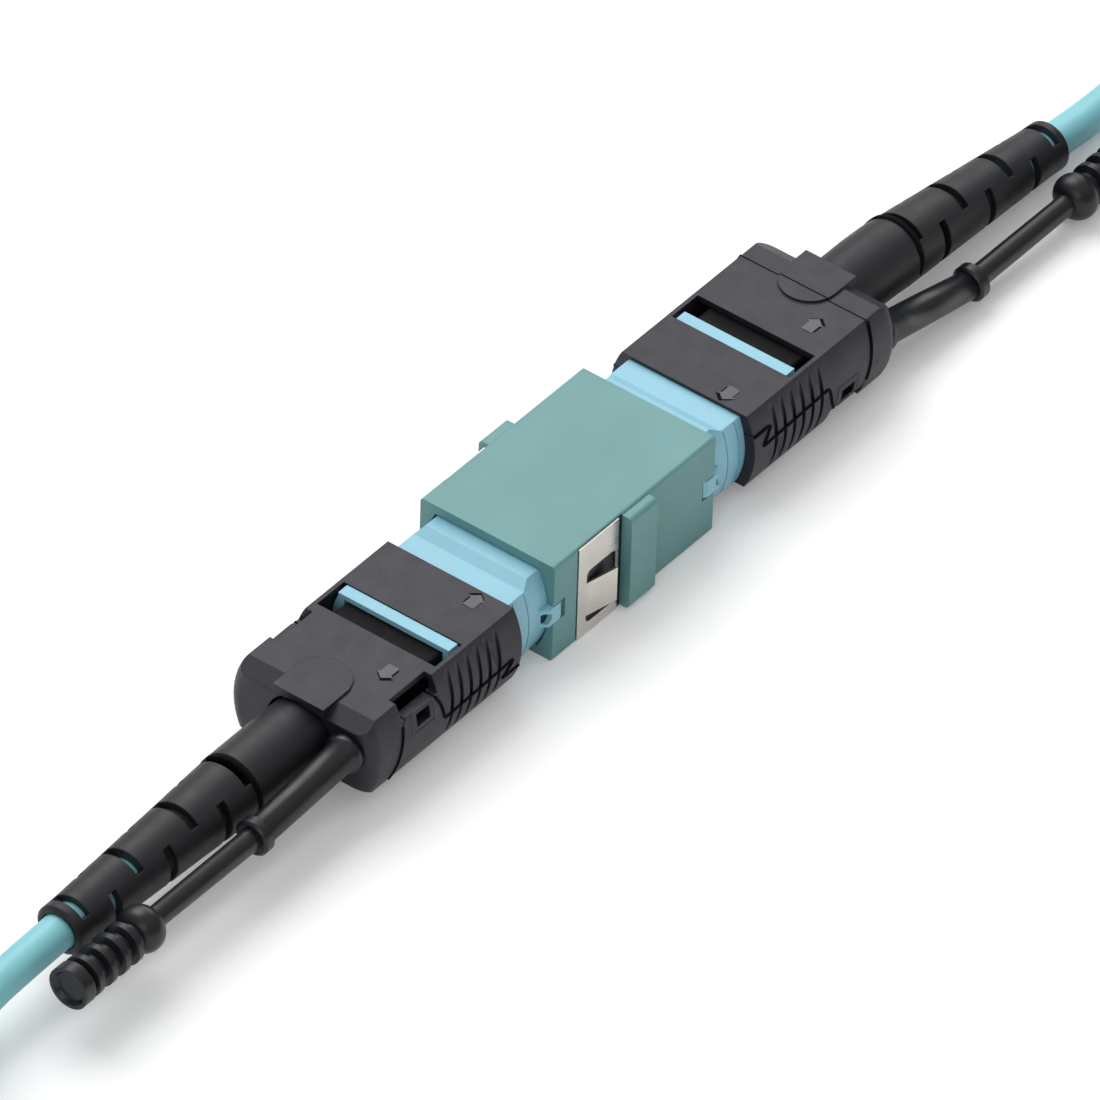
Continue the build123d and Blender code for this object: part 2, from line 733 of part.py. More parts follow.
def tie():
    """Flat band round one side of the hank."""
    inner = hank_turn - cable_diameter / 2
    outer = hank_turn + cable_diameter / 2
    height = hank_layers * cable_diameter
    around = block(inner - tie_thickness, outer + tie_thickness, tie_at, tie_at + tie_width,
                   0, height + 2 * tie_thickness)
    around = fillet(around.edges().filter_by(Axis.Y), hank_edge)
    held = block(inner, outer, tie_at - 1, tie_at + tie_width + 1, tie_thickness, height + tie_thickness)
    return around - fillet(held.edges().filter_by(Axis.Y), hank_edge)


def lead_points(bend, flip, first_run, rest):
    """Route of a lead: the boot's tip, a first run straight on, then the rest as chosen.

    flip is -1 for the plug that lies cover down.
    """
    starts = (bent_point(boot_end, bend), bent_point(boot_end + first_run, bend))
    return [(0, place.Y, axis_z + flip * place.Z) for place in starts] + rest


def plug_pieces(bend, flare, sag):
    """The pieces of one mated plug in its own frame."""
    shell = closed_shell()
    return {
        "inner_housing": inner_housing(),
        "ferrule": ferrule(),
        "ferrule_spring": coil_spring(ferrule_spring_radius, ferrule_spring_wire, ferrule_spring_turns,
                                      ferrule_length + clamp_length + 0.02, push_start - 0.02),
        "spring_push": spring_push(),
        "crimp_sleeve": crimp_sleeve(),
        "outer_sleeve": outer_sleeve(),
        "sleeve_springs": sleeve_springs(),
        "shell_cover": shell_cover(shell),
        "shell_base": shell_base(shell),
        "pull_rod": pull_rod(flare, sag),
        "boot": boot(bend),
        "cable_core": cable_core(bend),
    }


def far_pieces():
    """The plug on the cable's other end, with its insides left closed in."""
    shell = closed_shell()
    return {
        "far_housing": inner_housing(),
        "far_ferrule": ferrule(),
        "far_sleeve": outer_sleeve(),
        "far_cover": shell_cover(shell),
        "far_base": shell_base(shell),
        "far_rod": pull_rod(0.1, 0),
        "far_boot": boot(0),
    }


def save(name, piece):
    export_step(piece, f"parts/{name}.step")


def build():
    os.makedirs("parts", exist_ok=True)
    lift = Pos(0, 0, axis_z)
    seat_cut = clip_seat_cut()
    rear = coupler_half()
    front = Rot(0, 0, 180) * rear - seat_cut
    insert = latch_insert()
    save("housing_rear", lift * rear)
    save("housing_front", lift * front)
    save("latch_insert_rear", lift * insert)
    save("latch_insert_front", lift * Rot(0, 0, 180) * insert)
    save("panel_clip", lift * panel_clip())

    places = {"a": lift * Rot(0, 0, 180), "b": lift * Rot(0, 180, 0)}
    bends = {"a": -boot_bend_a, "b": boot_bend_b}
    flares = {"a": (rod_flare_a, rod_sag_a), "b": (rod_flare_b, rod_sag_b)}
    for letter, place in places.items():
        for name, piece in plug_pieces(bends[letter], *flares[letter]).items():
            save(f"{name}_{letter}", place * piece)
    save("guide_pins_a", places["a"] * guide_pins())
    save("pin_clamp_a", places["a"] * pin_clamp())

    leads = {
        "a": lead_points(-boot_bend_a, 1, 5.0, [
            (-1.6, 72.0, 3.3), (-5.1, 76.7, 2.4), (-8.8, 81.3, 1.95), (-10.9, 86.8, 1.8), (-11.4, 91.7, 1.8)]),
        "b": lead_points(boot_bend_b, -1, 4.5, [
            (-1.6, 71.2, 1.6), (-5.1, 75.9, 1.65), (-8.8, 80.4, 1.75), (-10.9, 85.9, 1.8),
            (-11.4, 90.4, 1.8)]),
    }
    tail = [(-9.0, 3.0, 8.3), (-9.05, 14.0, 9.7), (-8.95, 26.0, 10.8), (-9.0, 38.5, 10.9),
            (-9.0, 50.9, 11.1), (-3.9, 56.0, 11.6), (3.3, 56.0, 12.3), (8.4, 50.9, 12.9),
            (far_side, far_tip, far_axis_z)]
    for letter, turn in (("a", 180), ("b", 0)):
        chain = Rot(0, 0, turn)
        place = chain * Pos(hank_side, hank_place[letter], 0)
        save(f"cable_lead_{letter}", chain * cable_tube(f"lead {letter}", leads[letter]))
        save(f"cable_hank_{letter}", place * hank())
        save(f"cable_tie_{letter}", place * tie())
        save(f"cable_tail_{letter}", place * cable_tube(f"tail {letter}", tail))
        seat = place * Pos(far_side, far_tip - boot_end, far_axis_z)
        for name, piece in far_pieces().items():
            save(f"{name}_{letter}", seat * piece)


build()
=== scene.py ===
"""Looks of the multi-fibre coupler with its two mated plugs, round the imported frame, in metres."""

import json
from math import ceil, cos, dist, pi, radians, sin, sqrt

import bpy
from mathutils import Matrix, Vector


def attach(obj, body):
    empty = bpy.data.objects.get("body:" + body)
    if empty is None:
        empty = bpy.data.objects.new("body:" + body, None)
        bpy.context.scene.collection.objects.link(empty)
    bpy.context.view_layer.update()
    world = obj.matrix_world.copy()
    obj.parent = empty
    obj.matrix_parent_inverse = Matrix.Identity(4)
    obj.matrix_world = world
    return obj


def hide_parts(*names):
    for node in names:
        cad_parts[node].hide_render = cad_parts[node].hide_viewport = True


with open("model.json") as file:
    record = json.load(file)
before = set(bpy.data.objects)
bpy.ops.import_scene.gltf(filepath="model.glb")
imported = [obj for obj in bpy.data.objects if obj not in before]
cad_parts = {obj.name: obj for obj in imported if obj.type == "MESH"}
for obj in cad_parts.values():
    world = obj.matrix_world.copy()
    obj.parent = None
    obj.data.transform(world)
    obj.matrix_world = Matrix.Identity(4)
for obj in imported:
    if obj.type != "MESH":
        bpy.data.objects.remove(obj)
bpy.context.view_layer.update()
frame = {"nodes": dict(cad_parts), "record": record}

# Height of the chain's axis, the way of each plug along Y and of each hand along X
MM = 0.001
AXIS_Z = 4.65 * MM
PLUGS = {"a": -1, "b": 1}
HANDS = {"left": -1, "right": 1}

# Camera, placed by the photograph
CAMERA_AZIMUTH = 36.75
CAMERA_ELEVATION = 40.7
CAMERA_ROLL = 1.9
CAMERA_DISTANCE = 1500 * MM
CAMERA_REACH = 10
SENSOR = 36.0
PHOTO_SIZE = 1100
PIXELS_PER_MM = 13.17
TARGET_PIXEL = (566.85, 513.85)

# Cable and its hanks, each a stack of flat loops with long sides along Y
CABLE = 3.0 * MM
HANK_RUN = 47.0 * MM
HANK_TURN = 9.0 * MM
HANK_LAYERS = 3
HANK_LIFT = 0.3 * MM
HANK_SIDE = -2.4 * MM
HANK_PLACE = {"a": 91.2 * MM, "b": 89.5 * MM}
ARC_POINTS = 8
RUN_POINTS = 3

# Cable routes in millimetres, chosen and drawn on the side of plug b: from each boot's tip to the
# hank, somewhat straighter than the solids, and up from the hank's last loop to the far plug
LEADS = {
    "a": [(0, 61.298, 4.345), (0, 66.298, 4.2), (0, 71.5, 3.7), (-2.6, 77.3, 2.8), (-7.0, 82.4, 2.1),
          (-10.4, 88.0, 1.8), (-11.4, 94.0, 1.8)],
    "b": [(0, 61.164, 2.134), (0, 65.637, 1.648), (0, 70.5, 1.6), (0, 74.6, 1.6), (-3.9, 79.4, 1.6),
          (-8.4, 83.5, 1.65), (-11.0, 87.8, 1.75), (-11.4, 92.2, 1.8)],
}
TAIL = [(-9.0, 3.0, 8.3), (-9.05, 14.0, 9.7), (-8.95, 26.0, 10.8), (-9.0, 38.5, 10.9), (-9.0, 50.9, 11.1),
        (-3.9, 56.0, 11.6), (3.3, 56.0, 12.3), (8.4, 50.9, 12.9), (8.4, 43.4, 12.98)]
FAR_SEAT = (6.0 * MM, -17.9 * MM, 12.98 * MM)

# Arrows on a plug, in its own frame: X across, Y out from the mating plane, Z up from the axis. Each is
# given by its stem's start, its head's base and its tip.
SHELL_HALF_HEIGHT = 3.5 * MM
ARROWS = ((16.5 * MM, 15.47 * MM, 14.84 * MM), (25.4 * MM, 26.47 * MM, 27.1 * MM))
ARROW_SIDE = -3.3 * MM
ARROW_STEM = 0.5 * MM
ARROW_HEAD = 0.78 * MM
ARROW_SINK = 0.02 * MM
# Painted shade: each arrow's dark rim is shifted sideways and towards its tip, standing in for the shaded
# wall of a sunk mark
ARROW_SHADE_SHIFT = (-0.14 * MM, 0.24 * MM)

# Bulging barrels of a plug: half height, half width of the flat top, half width at the axis
BARRELS = {"shell": (SHELL_HALF_HEIGHT, 6.02 * MM, 6.95 * MM), "sleeve": (3.15 * MM, 5.3 * MM, 5.95 * MM)}

# Lines on a plug's sides, as places along Y and levels from the axis, in millimetres
SEAM_FRONT = ((14.5, -1.7), (16.6, -1.7), (15.4, -0.36), (23.75, -0.71), (24.2, 0.95), (24.7, 1.9))
SEAM_REAR = ((28.7, 1.6), (29.0, -0.2), (29.5, -3.3))
SEAM_WIDTH = 0.28 * MM
POCKET_FRAME = ((25.0, 0.1), (25.0, 1.9), (25.25, 2.1), (27.35, 2.1), (27.6, 1.9), (27.6, 0.1), (25.0, 0.1))
FRAME_WIDTH = 0.12 * MM
# Painted shade: the fine grooves on the coloured sleeve are drawn as darker aqua lines
GROOVE_PLACES = (12.3, 13.7)
GROOVE_REACH = 3.0
GROOVE_WIDTH = 0.09 * MM
LINE_STEP = 0.5 * MM

# Painted shade: a dark plate at the floor of the eyelet in each lug of a sleeve, where the hole lies in
# shade
EYELET_ALONG = 10.62 * MM
EYELET_END = 10.93 * MM
EYELET_RADIUS = 0.49 * MM
EYELET_IN = 5.98 * MM
EYELET_OUT = 6.03 * MM

# Painted shade at the clip: a dark plate behind its windows, where the opening through the housing wall
# lies in shade, and one on the lip turned in beside the flange, shaded as it bends away. Front, back, low
# and high edges from the axis
WINDOW_SHADE_BOX = (-5.9 * MM, -2.35 * MM, -3.5 * MM, 1.65 * MM)
LIP_SHADE_BOX = (-2.05 * MM, -1.62 * MM, -4.5 * MM, 4.4 * MM)
CLIP_SHADE_IN = 6.3 * MM
WINDOW_SHADE_OUT = 6.33 * MM
LIP_SHADE_OUT = 6.42 * MM

# First stretch of each pull rod, from its foot on the shell towards its collar, and the ring of painted
# shade round each boot in the groove at its first slot. Profiles are radius and height in millimetres,
# tilts are in degrees.
ROD_FOOT = (-4.65 * MM, 32.65 * MM, 0.85 * MM)
ROD_COLLAR = {"a": (-4.95 * MM, 43.7 * MM, 0.25 * MM), "b": (-5.35 * MM, 43.7 * MM, 2.6 * MM)}
ROD_PROFILE = ((1.3, 0), (1.62, 0.12), (1.62, 0.75), (1.34, 0.9), (1.3, 5.5), (1.2, 10.8), (1.0, 11.0))
BOOT_RING_PROFILE = ((2.9, 0), (2.96, 0), (2.96, 0.5), (2.9, 0.5))
BOOT_RING_ALONG = 40.6 * MM
BOOT_RING_RISE = {"a": -0.02 * MM, "b": -0.17 * MM}
BOOT_TILT = {"a": -0.75, "b": 6.2}
ROUND_SIDES = 48

# Surfaces: flow and rough patches of the plastics, clouds and rolled lines of the metals, rounded edges
FLOW_CELL = 6 * MM
PATCH_CELL = 1.5 * MM
PATCH_ROUGH = 0.05
GRAIN_DEPTH = 0.3
CLOUD_CELL = 2 * MM
CLOUD_SHADE = 0.88
ROLLED_CELL = 0.08 * MM
ROLLED_SMOOTHER = 0.06
ROLLED_ROUGHER = 0.1
ROLLED_RELIEF = 0.15
ROLLED_DEPTH = 0.01 * MM
METAL_EDGE = 0.05 * MM
EDGE_SAMPLES = 4
NOISE_LOW = 0.3
NOISE_HIGH = 0.7

# Studio: floor, surround and lamps, each lamp with its place, its size and its power
FLOOR_REACH = 3.0
FLOOR_GREY = 0.86
FLOOR_ROUGH = 0.9
FLOOR_SHINE = 0.1
FLOOR_GLOW = 0.16
SURROUND_SIDE = 0.18
SURROUND_TOP = 0.74
LAMPS = {
    "key_lamp": ((-0.5, 0.15, 0.75), (0.7, 0.7), 5.5),
    "back_lamp": ((-0.35, 0.9, 0.6), (0.8, 0.5), 3.0),
    "front_lamp": ((0.3, -0.8, 0.5), (0.6, 0.6), 1.2),
}


def placed(name, data):
    """Object of that data, put in the scene."""
    obj = bpy.data.objects.new(name, data)
    bpy.context.scene.collection.objects.link(obj)
    return obj


def mesh_piece(name, points, faces, material):
    """Piece with those points and faces, in one material."""
    mesh = bpy.data.meshes.new(name)
    mesh.from_pydata(points, [], faces)
    mesh.materials.append(material)
    return placed(name, mesh)


def prism(name, outline, low, high, material):
    """Flat plate between two heights with a given outline."""
    count = len(outline)
    points = [(x, y, z) for z in (low, high) for x, y in outline]
    sides = [(index, (index + 1) % count, (index + 1) % count + count, index + count)
             for index in range(count)]
    ends = [tuple(reversed(range(count))), tuple(range(count, 2 * count))]
    return mesh_piece(name, points, ends + sides, material)


def side_plate(name, outline, inside, outside, side, place, material):
    """Upright plate on one side of an axis, its outline given along the axis and up from it."""
    plate = prism(name, outline, inside, outside, material)
    turn = Matrix(((0, 0, side, 0), (1, 0, 0, 0), (0, 1, 0, 0), (0, 0, 0, 1)))
    plate.data.transform(place @ turn)
    if side < 0:
        plate.data.flip_normals()
    return plate


def lathe(name, profile, material):
    """Surface of revolution about Z from radius and height pairs, closed at both ends."""
    angles = [2 * pi * turn / ROUND_SIDES for turn in range(ROUND_SIDES)]
    points = [(radius * MM * cos(angle), radius * MM * sin(angle), height * MM)
              for radius, height in profile for angle in angles]
    faces = []
    for row in range(len(profile) - 1):
        low = row * ROUND_SIDES
        high = low + ROUND_SIDES
        for turn in range(ROUND_SIDES):
            after = (turn + 1) % ROUND_SIDES
            faces.append((low + turn, low + after, high + after, high + turn))
    faces.append(tuple(reversed(range(ROUND_SIDES))))
    faces.append(tuple(range(len(points) - ROUND_SIDES, len(points))))
    piece = mesh_piece(name, points, faces, material)
    piece.data.polygons.foreach_set("use_smooth", [len(face) == 4 for face in faces])
    return piece


def round_bar(name, points, width, material, round_steps, span_steps):
    """Round bar on one smooth spline drawn by its control points."""
    data = bpy.data.curves.new(name, "CURVE")
    data.dimensions = "3D"
    data.bevel_depth = width / 2
    data.bevel_resolution = round_steps
    data.use_fill_caps = True
    spline = data.splines.new("NURBS")
    spline.points.add(len(points) - 1)
    for place, point in zip(spline.points, points):
        place.co = (*point, 1)
    spline.order_u = 3
    spline.use_endpoint_u = True
    spline.resolution_u = span_steps
    data.materials.append(material)
    return placed(name, data)


def new_material(name):
    """New node material with its nodes, its link maker and its main shader."""
    made = bpy.data.materials.new(name)
    made.use_nodes = True
    nodes = made.node_tree.nodes
    return made, nodes, made.node_tree.links.new, nodes["Principled BSDF"]


def noise(nodes, link, place, cell, detail=2.0, stretch=(1, 1, 1)):
    """Noise with cells of that size, stretched along the axes."""
    mapping = nodes.new("ShaderNodeMapping")
    mapping.inputs["Scale"].default_value = stretch
    link(place, mapping.inputs["Vector"])
    texture = nodes.new("ShaderNodeTexNoise")
    texture.inputs["Scale"].default_value = 1 / cell
    texture.inputs["Detail"].default_value = detail
    link(mapping.outputs["Vector"], texture.inputs["Vector"])
    return texture.outputs["Fac"]


def ramped(nodes, link, value, low, high):
    """The usual range of a noise mapped onto low to high."""
    spread = nodes.new("ShaderNodeMapRange")
    spread.inputs["From Min"].default_value = NOISE_LOW
    spread.inputs["From Max"].default_value = NOISE_HIGH
    spread.inputs["To Min"].default_value = low
    spread.inputs["To Max"].default_value = high
    link(value, spread.inputs["Value"])
    return spread.outputs["Result"]


def tinted(nodes, link, factor, first, second):
    """Colour between two, by the factor."""
    mixer = nodes.new("ShaderNodeMix")
    mixer.data_type = "RGBA"
    mixer.inputs["A"].default_value = (*first, 1)
    mixer.inputs["B"].default_value = (*second, 1)
    link(factor, mixer.inputs["Factor"])
    return mixer.outputs["Result"]


def relief(nodes, link, shader, height, strength, depth, edge):
    """Fine relief by a height, over edges that are rounded by a radius if there is one."""
    bump = nodes.new("ShaderNodeBump")
    bump.inputs["Strength"].default_value = strength
    bump.inputs["Distance"].default_value = depth
    link(height, bump.inputs["Height"])
    if edge:
        rounded = nodes.new("ShaderNodeBevel")
        rounded.samples = EDGE_SAMPLES
        rounded.inputs["Radius"].default_value = edge
        link(rounded.outputs["Normal"], bump.inputs["Normal"])
    link(bump.outputs["Normal"], shader.inputs["Normal"])


def moulded(name, colour, rough, grain_size=0.09 * MM, grain=0.25, edge=0.1 * MM, mottle=0.06, shine=0.5):
    """Moulded plastic: fine spark-eroded grain, faint flow mottling and softly rounded edges."""
    made, nodes, link, shader = new_material(name)
    shader.inputs["Specular IOR Level"].default_value = shine
    place = nodes.new("ShaderNodeTexCoord").outputs["Object"]
    flow = ramped(nodes, link, noise(nodes, link, place, FLOW_CELL), 0, 1)
    darker = [share * (1 - mottle) for share in colour]
    lighter = [min(1, share * (1 + mottle)) for share in colour]
    link(tinted(nodes, link, flow, darker, lighter), shader.inputs["Base Color"])
    patches = noise(nodes, link, place, PATCH_CELL, 3.0)
    roughness = ramped(nodes, link, patches, rough - PATCH_ROUGH, rough + PATCH_ROUGH)
    link(roughness, shader.inputs["Roughness"])
    fine = noise(nodes, link, place, grain_size)
    relief(nodes, link, shader, fine, grain, grain_size * GRAIN_DEPTH, edge)
    return made


def metal(name, colour, rough, stretch):
    """Metal with drawn or rolled lines along one axis."""
    made, nodes, link, shader = new_material(name)
    shader.inputs["Metallic"].default_value = 1.0
    place = nodes.new("ShaderNodeTexCoord").outputs["Object"]
    cloud = ramped(nodes, link, noise(nodes, link, place, CLOUD_CELL, 3.0), 0, 1)
    darker = [share * CLOUD_SHADE for share in colour]
    link(tinted(nodes, link, cloud, darker, colour), shader.inputs["Base Color"])
    lines = noise(nodes, link, place, ROLLED_CELL, stretch=stretch)
    roughness = ramped(nodes, link, lines, rough - ROLLED_SMOOTHER, rough + ROLLED_ROUGHER)
    link(roughness, shader.inputs["Roughness"])
    relief(nodes, link, shader, lines, ROLLED_RELIEF, ROLLED_DEPTH, METAL_EDGE)
    return made


MATERIALS = {
    "coupler_plastic": moulded("coupler_plastic", (0.12, 0.29, 0.29), 0.42, grain=0.3, edge=0),
    "insert_plastic": moulded("insert_plastic", (0.3, 0.32, 0.32), 0.45),
    "black_plastic": moulded("black_plastic", (0.013, 0.011, 0.02), 0.46, grain=0.4, shine=0.4),
    "ferrule_plastic": moulded("ferrule_plastic", (0.025, 0.025, 0.028), 0.3, grain=0.1),
    "aqua_plastic": moulded("aqua_plastic", (0.26, 0.54, 0.66), 0.34, grain=0.12, mottle=0.03, shine=0.4),
    "boot_rubber": moulded("boot_rubber", (0.009, 0.008, 0.012), 0.5, grain=0.3, edge=0.15 * MM,
                           shine=0.42),
    "cable_jacket": moulded("cable_jacket", (0.22, 0.55, 0.61), 0.45, grain_size=0.25 * MM, grain=0.15,
                            mottle=0.04, shine=0.6),
    "clip_steel": metal("clip_steel", (0.66, 0.63, 0.58), 0.3, (0.03, 0.03, 1)),
    "pin_steel": metal("pin_steel", (0.75, 0.75, 0.76), 0.15, (1, 0.05, 1)),
    "spring_steel": metal("spring_steel", (0.6, 0.6, 0.6), 0.3, (1, 1, 1)),
    "tie_fabric": moulded("tie_fabric", (0.03, 0.03, 0.034), 0.8, grain_size=0.3 * MM, grain=0.8),
    "crimp_brass": metal("crimp_brass", (0.72, 0.58, 0.3), 0.3, (1, 0.05, 1)),
}
ROD_NYLON = moulded("rod_nylon", (0.006, 0.006, 0.009), 0.33, grain=0.06, edge=0.06 * MM, mottle=0.1,
                    shine=0.42)
INNER_BLACK = moulded("inner_black", (0.004, 0.004, 0.005), 0.7, grain=0.2, edge=0, shine=0.15)
ARROW_FACE = moulded("arrow_face", (0.085, 0.08, 0.095), 0.5, grain=0.2, edge=0)
# Near-black for the seams, which are dark joints of the shell, and for the painted shade of the arrow rims
# and the boot groove rings
SEAM_AND_SHADE_BLACK = moulded("seam_and_painted_shade_black", (0.003, 0.003, 0.004), 0.8, grain=0.1, edge=0, shine=0.08)
FRAME_SHADE = moulded("frame_shade", (0.045, 0.043, 0.05), 0.5, grain=0.2, edge=0)
# Darker aqua for the painted shade in the sleeve's grooves
GROOVE_PAINTED_SHADE = moulded("groove_painted_shade", (0.10, 0.30, 0.42), 0.5, grain=0.1, edge=0)
# Blue-black for the painted shade in the eyelets
EYELET_PAINTED_SHADE = moulded("eyelet_painted_shade", (0.008, 0.03, 0.06), 0.6, grain=0.1, edge=0, shine=0.2)
# Dark steel for the painted shade behind the clip's windows and on its lip
PAINTED_SHADE_STEEL = metal("painted_shade_steel", (0.05, 0.048, 0.052), 0.35, (0.03, 0.03, 1))


def dress_nodes():
    """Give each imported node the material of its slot, but for pull rods and the near inner housings."""
    slots = {row["node"]: row["material_slot"] for row in frame["record"]["subparts"]}
    for name, obj in frame["nodes"].items():
        chosen = MATERIALS[slots[name]]
        if "rod" in name:
            chosen = ROD_NYLON
        if name.startswith("inner_housing"):
            chosen = INNER_BLACK
        obj.data.materials.clear()
        obj.data.materials.append(chosen)


def plug_places():
    """Where each plug's own frame stands: the two mated plugs and the two on the cables' far ends."""
    lift = Matrix.Translation((0, 0, AXIS_Z))
    turned = Matrix.Rotation(pi, 4, "Z")
    places = {"a": lift @ turned, "b": lift @ Matrix.Rotation(pi, 4, "Y")}
    for letter, chain in (("a", turned), ("b", Matrix.Identity(4))):
        seat = Vector(FAR_SEAT) + Vector((0, HANK_PLACE[letter], 0))
        places[f"far_{letter}"] = chain @ Matrix.Translation(seat)
    return places


def arrow_outline(start, base, tip, shift):
    """Short arrow from its stem's start to its tip, moved sideways and towards the tip."""
    way = 1 if tip > start else -1
    half = ((ARROW_STEM, start), (ARROW_STEM, base), (ARROW_HEAD, base))
    half = [(x, y + way * shift[1]) for x, y in half]
    outline = half + [(0, tip + way * shift[1])] + [(-x, y) for x, y in reversed(half)]
    outline = [(ARROW_SIDE + way * shift[0] + x, y) for x, y in outline]
    return outline if way > 0 else list(reversed(outline))


def arrows():
    """Arrow marks on both faces of every plug's shell, each a paler face over a dark rim of painted shade,
    shifted as the shaded wall of a sunk mark.
    """
    flips = {"top": Matrix.Identity(4), "base": Matrix.Scale(-1, 4, (0, 0, 1))}
    layers = (("rim", 1, ARROW_SHADE_SHIFT, SEAM_AND_SHADE_BLACK), ("face", 2, (0, 0), ARROW_FACE))
    marks = [(number, ends, layer) for number, ends in enumerate(ARROWS) for layer in layers]
    for plug, place in plug_places().items():
        body = f"plug_{plug[-1]}" if plug.startswith("far") else f"sleeve_{plug}"
        for side, flip in flips.items():
            for number, ends, (kind, lift, shift, shade) in marks:
                plate = prism(f"arrow_{kind}_{plug}_{side}_{number}", arrow_outline(*ends, shift),
                              SHELL_HALF_HEIGHT - ARROW_SINK, SHELL_HALF_HEIGHT + lift * ARROW_SINK, shade)
                plate.data.transform(place @ flip)
                if side == "base":
                    plate.data.flip_normals()
                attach(plate, body)


def clip_painted_shades():
    """Painted shade: a dark steel plate behind each window of the clip, where the opening through the wall
    lies in shade, and a dark plate on the lip turned in beside the flange, shaded as it bends away.
    """
    axis = Matrix.Translation((0, 0, AXIS_Z))
    for part, box, outside in (("window_shade", WINDOW_SHADE_BOX, WINDOW_SHADE_OUT), ("lip", LIP_SHADE_BOX, LIP_SHADE_OUT)):
        front, back, low, high = box
        outline = ((front, low), (back, low), (back, high), (front, high))
        for hand, side in HANDS.items():
            plate = side_plate(f"clip_{part}_{hand}", outline, CLIP_SHADE_IN, outside, side, axis, PAINTED_SHADE_STEEL)
            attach(plate, "coupler")


def side_line(name, outline, width, barrel, side, shade):
    """Line laid along an outline on one bulging side of a flat-topped barrel."""
    half_height, top_half, side_half = barrel
    bulge = side_half - top_half
    radius = (half_height ** 2 + bulge ** 2) / (2 * bulge)
    outline = [(along * MM, level * MM) for along, level in outline]
    places = [outline[0]]
    for start, end in zip(outline, outline[1:]):
        steps = ceil(dist(start, end) / LINE_STEP)
        places += [tuple(a + (b - a) * step / steps for a, b in zip(start, end))
                   for step in range(1, steps + 1)]
    points = [(side * (side_half - radius + sqrt(radius ** 2 - level ** 2)), along, level)
              for along, level in places]
    return round_bar(name, points, width, shade, round_steps=1, span_steps=2)


def plug_lines():
    """Seams and pocket frame of each near shell, and lines of painted shade along the fine grooves of its
    coloured sleeve.
    """
    rows = [("seam_front", SEAM_FRONT, SEAM_WIDTH, "shell", SEAM_AND_SHADE_BLACK, "black_plastic"),
            ("seam_rear", SEAM_REAR, SEAM_WIDTH, "shell", SEAM_AND_SHADE_BLACK, "black_plastic"),
            ("pocket_frame", POCKET_FRAME, FRAME_WIDTH, "shell", FRAME_SHADE, "black_plastic")]
    for number, along in enumerate(GROOVE_PLACES):
        upright = ((along, GROOVE_REACH), (along, -GROOVE_REACH))
        rows.append((f"groove_{number}", upright, GROOVE_WIDTH, "sleeve", GROOVE_PAINTED_SHADE, "aqua_plastic"))
    places = plug_places()
    for letter in PLUGS:
        for hand, side in HANDS.items():
            for part, outline, width, barrel, shade, slot in rows:
                line = side_line(f"{part}_{hand}_{letter}", outline, width, BARRELS[barrel], side, shade)
                line.data.transform(places[letter])
                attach(line, f"sleeve_{letter}")


def eyelet_painted_shades():
    """Painted shade on the floor of the eyelet in each near sleeve's lugs, cut short where the lug slopes
    away.
    """
    angles = [2 * pi * turn / ROUND_SIDES for turn in range(ROUND_SIDES)]
    outline = [(min(EYELET_ALONG + EYELET_RADIUS * cos(angle), EYELET_END), EYELET_RADIUS * sin(angle))
               for angle in angles]
    places = plug_places()
    for letter in PLUGS:
        for hand, side in HANDS.items():
            plate = side_plate(f"eyelet_{hand}_{letter}", outline, EYELET_IN, EYELET_OUT, side,
                               places[letter], EYELET_PAINTED_SHADE)
            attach(plate, f"sleeve_{letter}")


def rod_roots():
    """Thicker first stretch of each near pull rod, from the shell to the collar."""
    places = plug_places()
    for letter, collar in ROD_COLLAR.items():
        root = lathe(f"rod_root_{letter}", ROD_PROFILE, ROD_NYLON)
        way = (Vector(collar) - Vector(ROD_FOOT)).normalized()
        turn = way.to_track_quat("Z", "Y").to_matrix().to_4x4()
        root.data.transform(places[letter] @ Matrix.Translation(ROD_FOOT) @ turn)
        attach(root, f"sleeve_{letter}")


def boot_groove_shades():
    """Painted shade: a dark ring right round each near boot, standing in for the shade in the groove at its
    first slot.
    """
    for letter, side in PLUGS.items():
        ring = lathe(f"boot_ring_{letter}", BOOT_RING_PROFILE, SEAM_AND_SHADE_BLACK)
        centre = (0, side * BOOT_RING_ALONG, AXIS_Z + BOOT_RING_RISE[letter])
        turn = Matrix.Rotation(radians(-90 * side - BOOT_TILT[letter]), 4, "X")
        ring.data.transform(Matrix.Translation(centre) @ turn)
        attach(ring, f"plug_{letter}")


def eased(share):
    """Smooth 0 to 1 as share goes from 0 to 1, held outside that."""
    share = min(max(share, 0.0), 1.0)
    return share * share * (3 - 2 * share)


def loop_place(share):
    """Point on a flat loop after a share of it: out at -X, round the far end, back at +X and round again.

    Points on the two arcs stand a little wide, because a spline runs inside its control points there.
    """
    quarter = share * 4
    leg = int(quarter)
    rest = quarter - leg
    if leg == 0:
        return -HANK_TURN, rest * HANK_RUN
    if leg == 2:
        return HANK_TURN, (1 - rest) * HANK_RUN
    wide = HANK_TURN / cos(pi / (2 * ARC_POINTS))
    if leg == 1:
        return -wide * cos(pi * rest), HANK_RUN + wide * sin(pi * rest)
    return wide * cos(pi * rest), -wide * sin(pi * rest)


def hank_points():
    """Control points of the loops, one on top of another, up to where the tail climbs out."""
    points = []
    for turn in range(HANK_LAYERS):
        for leg in range(4):
            count = RUN_POINTS if leg % 2 == 0 else ARC_POINTS
            for index in range(count):
                share = (leg + (index + 0.5) / count) / 4
                climb = eased(share * 4 - 3) if turn < HANK_LAYERS - 1 else 0
                points.append((*loop_place(share), HANK_LIFT + CABLE * (0.5 + turn + climb)))
    return points


